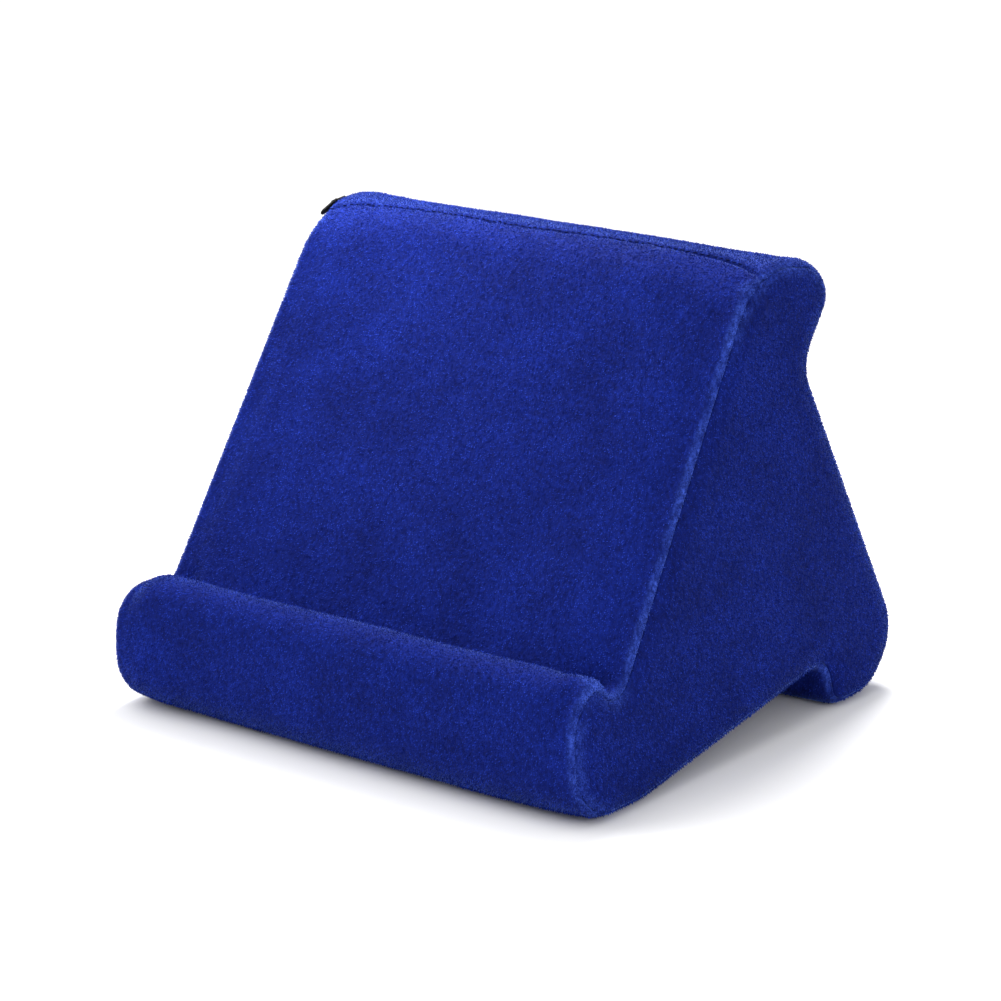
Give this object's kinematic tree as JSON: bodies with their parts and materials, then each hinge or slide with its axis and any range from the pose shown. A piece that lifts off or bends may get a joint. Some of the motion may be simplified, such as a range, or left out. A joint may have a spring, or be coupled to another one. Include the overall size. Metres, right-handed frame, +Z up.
{
  "type": "tablet pillow stand",
  "caption": "Plush wedge cushion with three rounded lobes and three channels that props up a tablet or book, resting on its lip and heel, with a zip over one end seam.",
  "frame": {"origin": "on the surface the cushion stands on, under the middle of its bounding box", "axes": "+X along the cushion from the zipped end to the plain end, +Y to the back, +Z up; the leaning face looks to -Y and up"},
  "size_m": [0.2686, 0.2598, 0.2209],
  "materials": {
    "plush": "short-pile plush, royal blue, soft sheen at grazing angles",
    "zip_tape": "woven tape with a nylon coil, black, satin",
    "zip_metal": "black lacquer, semi-gloss"
  },
  "bodies": {
    "root": {"cushion": "plush", "end_panel_right": "plush", "end_panel_left": "plush", "zip_chain": "zip_tape", "zip_slider": "zip_metal", "zip_pull": "zip_metal"}
  },
  "joints": []
}
